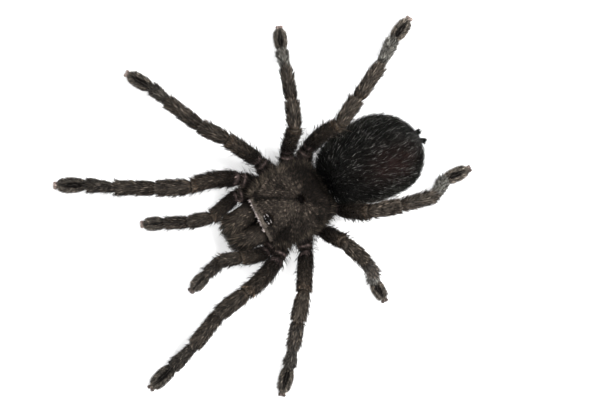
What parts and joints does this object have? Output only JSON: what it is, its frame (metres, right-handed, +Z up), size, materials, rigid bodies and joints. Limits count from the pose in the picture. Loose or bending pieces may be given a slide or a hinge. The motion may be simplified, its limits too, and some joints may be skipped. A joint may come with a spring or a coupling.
{
  "type": "brazilian black tarantula",
  "caption": "Life-size still model of a black tarantula standing on its feet with legs spread, bristly coat, egg-shaped abdomen and low domed carapace.",
  "frame": {"origin": "on the floor, under the centre of the box round the spread legs", "axes": "+Z up; -Y is the way the head points; +X is the animal's left"},
  "size_m": [0.1189, 0.1368, 0.03],
  "materials": {
    "leg_coat": "short brown-black hair with longer bristles",
    "carapace_coat": "fine flat bronze-brown hair",
    "abdomen_coat": "jet-black velvet with long pale-tipped hairs",
    "foot_pad": "dense olive-black pad hair",
    "bare_cuticle": "bare glossy black shell",
    "eyes": "wet glossy black"
  },
  "bodies": {
    "root": {"carapace": "carapace_coat", "eye_mound": "eyes", "underbody": "leg_coat", "abdomen": "abdomen_coat", "chelicera_left": "carapace_coat", "fang_left": "bare_cuticle", "spinneret_left": "abdomen_coat", "chelicera_right": "carapace_coat", "fang_right": "bare_cuticle", "spinneret_right": "abdomen_coat", "leg_left_1_femur": "leg_coat", "leg_left_1_patella": "leg_coat", "leg_left_1_tibia": "leg_coat", "leg_left_1_metatarsus": "leg_coat", "leg_left_1_tarsus": "foot_pad", "leg_left_2_femur": "leg_coat", "leg_left_2_patella": "leg_coat", "leg_left_2_tibia": "leg_coat", "leg_left_2_metatarsus": "leg_coat", "leg_left_2_tarsus": "foot_pad", "leg_left_3_femur": "leg_coat", "leg_left_3_patella": "leg_coat", "leg_left_3_tibia": "leg_coat", "leg_left_3_metatarsus": "leg_coat", "leg_left_3_tarsus": "foot_pad", "leg_left_4_femur": "leg_coat", "leg_left_4_patella": "leg_coat", "leg_left_4_tibia": "leg_coat", "leg_left_4_metatarsus": "leg_coat", "leg_left_4_tarsus": "foot_pad", "leg_right_1_femur": "leg_coat", "leg_right_1_patella": "leg_coat", "leg_right_1_tibia": "leg_coat", "leg_right_1_metatarsus": "leg_coat", "leg_right_1_tarsus": "foot_pad", "leg_right_2_femur": "leg_coat", "leg_right_2_patella": "leg_coat", "leg_right_2_tibia": "leg_coat", "leg_right_2_metatarsus": "leg_coat", "leg_right_2_tarsus": "foot_pad", "leg_right_3_femur": "leg_coat", "leg_right_3_patella": "leg_coat", "leg_right_3_tibia": "leg_coat", "leg_right_3_metatarsus": "leg_coat", "leg_right_3_tarsus": "foot_pad", "leg_right_4_femur": "leg_coat", "leg_right_4_patella": "leg_coat", "leg_right_4_tibia": "leg_coat", "leg_right_4_metatarsus": "leg_coat", "leg_right_4_tarsus": "foot_pad", "palp_left_femur": "leg_coat", "palp_left_patella": "leg_coat", "palp_left_tibia": "leg_coat", "palp_left_tarsus": "foot_pad", "palp_right_femur": "leg_coat", "palp_right_patella": "leg_coat", "palp_right_tibia": "leg_coat", "palp_right_tarsus": "foot_pad"}
  },
  "joints": []
}
